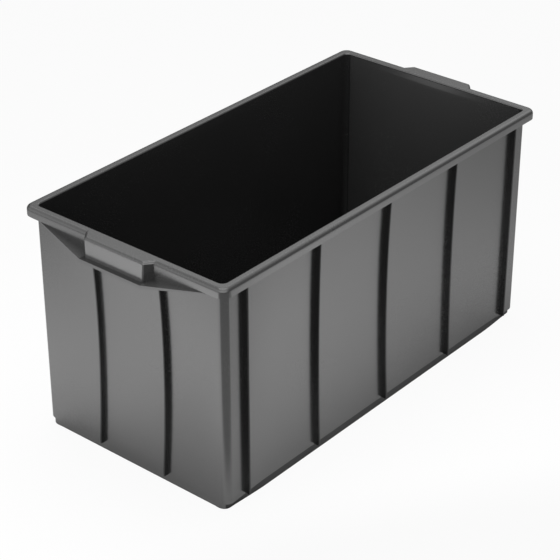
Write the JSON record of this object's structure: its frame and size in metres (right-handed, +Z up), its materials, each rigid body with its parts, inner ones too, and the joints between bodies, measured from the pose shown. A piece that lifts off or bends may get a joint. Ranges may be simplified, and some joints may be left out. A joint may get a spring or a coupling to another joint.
{
  "type": "plastic crate",
  "caption": "Open-topped rectangular stacking crate of dark moulded plastic, with bowed ribbed walls, a rolled rim and a hollow hand grip with a sloping apron on each end.",
  "frame": {"origin": "middle of the ground face, level with the lowest edge of the end walls and feet", "axes": "+X along the crate's length from the front end to the rear end, +Y across it to the left side, +Z up"},
  "size_m": [0.635, 0.31, 0.3],
  "materials": {
    "moulded_plastic": "satin, as moulded"
  },
  "bodies": {
    "root": {"floor_panel": "moulded_plastic", "front_end_rib_1": "moulded_plastic", "front_end_rib_2": "moulded_plastic", "front_end_wall": "moulded_plastic", "front_handle_apron": "moulded_plastic", "front_handle_grip": "moulded_plastic", "front_left_corner": "moulded_plastic", "front_right_corner": "moulded_plastic", "left_foot_rail": "moulded_plastic", "left_rim": "moulded_plastic", "left_side_rib_1": "moulded_plastic", "left_side_rib_2": "moulded_plastic", "left_side_rib_3": "moulded_plastic", "left_side_rib_4": "moulded_plastic", "left_side_rib_5": "moulded_plastic", "left_side_wall": "moulded_plastic", "rear_end_rib_1": "moulded_plastic", "rear_end_rib_2": "moulded_plastic", "rear_end_wall": "moulded_plastic", "rear_handle_apron": "moulded_plastic", "rear_handle_grip": "moulded_plastic", "rear_left_corner": "moulded_plastic", "rear_right_corner": "moulded_plastic", "right_foot_rail": "moulded_plastic", "right_rim": "moulded_plastic", "right_side_rib_1": "moulded_plastic", "right_side_rib_2": "moulded_plastic", "right_side_rib_3": "moulded_plastic", "right_side_rib_4": "moulded_plastic", "right_side_rib_5": "moulded_plastic", "right_side_wall": "moulded_plastic"}
  },
  "joints": []
}
